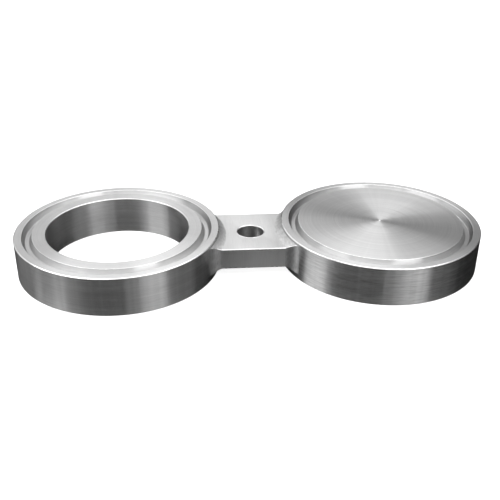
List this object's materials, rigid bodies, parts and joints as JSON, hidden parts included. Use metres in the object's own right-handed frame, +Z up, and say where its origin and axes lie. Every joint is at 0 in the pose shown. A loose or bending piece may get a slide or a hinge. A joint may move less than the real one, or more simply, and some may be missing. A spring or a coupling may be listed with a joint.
{
  "type": "spectacle blind",
  "caption": "Steel figure-8 pipe blank: a bored spacer ring and a solid disc with ring-joint grooves in both faces, joined by a welded tie bar with a stud hole.",
  "frame": {"origin": "on the stud hole's axis, halfway through the discs' thickness, which is the middle of the whole part", "axes": "+X from the spacer ring to the blank disc, +Y across the tie bar, +Z up through the thickness, along the pipe"},
  "size_m": [0.5588, 0.2414, 0.047],
  "materials": {
    "turned_steel": "lathe-turned bright stainless steel, fine concentric tool marks",
    "milled_steel": "satin ground stainless steel",
    "weld_metal": "weld fillet dressed smooth, slightly uneven"
  },
  "bodies": {
    "root": {"spacer_ring": "turned_steel", "blank_disc": "turned_steel", "tie_bar": "milled_steel", "spacer_weld_top": "weld_metal", "spacer_weld_bottom": "weld_metal", "spacer_weld_front": "weld_metal", "spacer_weld_back": "weld_metal", "blank_weld_top": "weld_metal", "blank_weld_bottom": "weld_metal", "blank_weld_front": "weld_metal", "blank_weld_back": "weld_metal"}
  },
  "joints": []
}
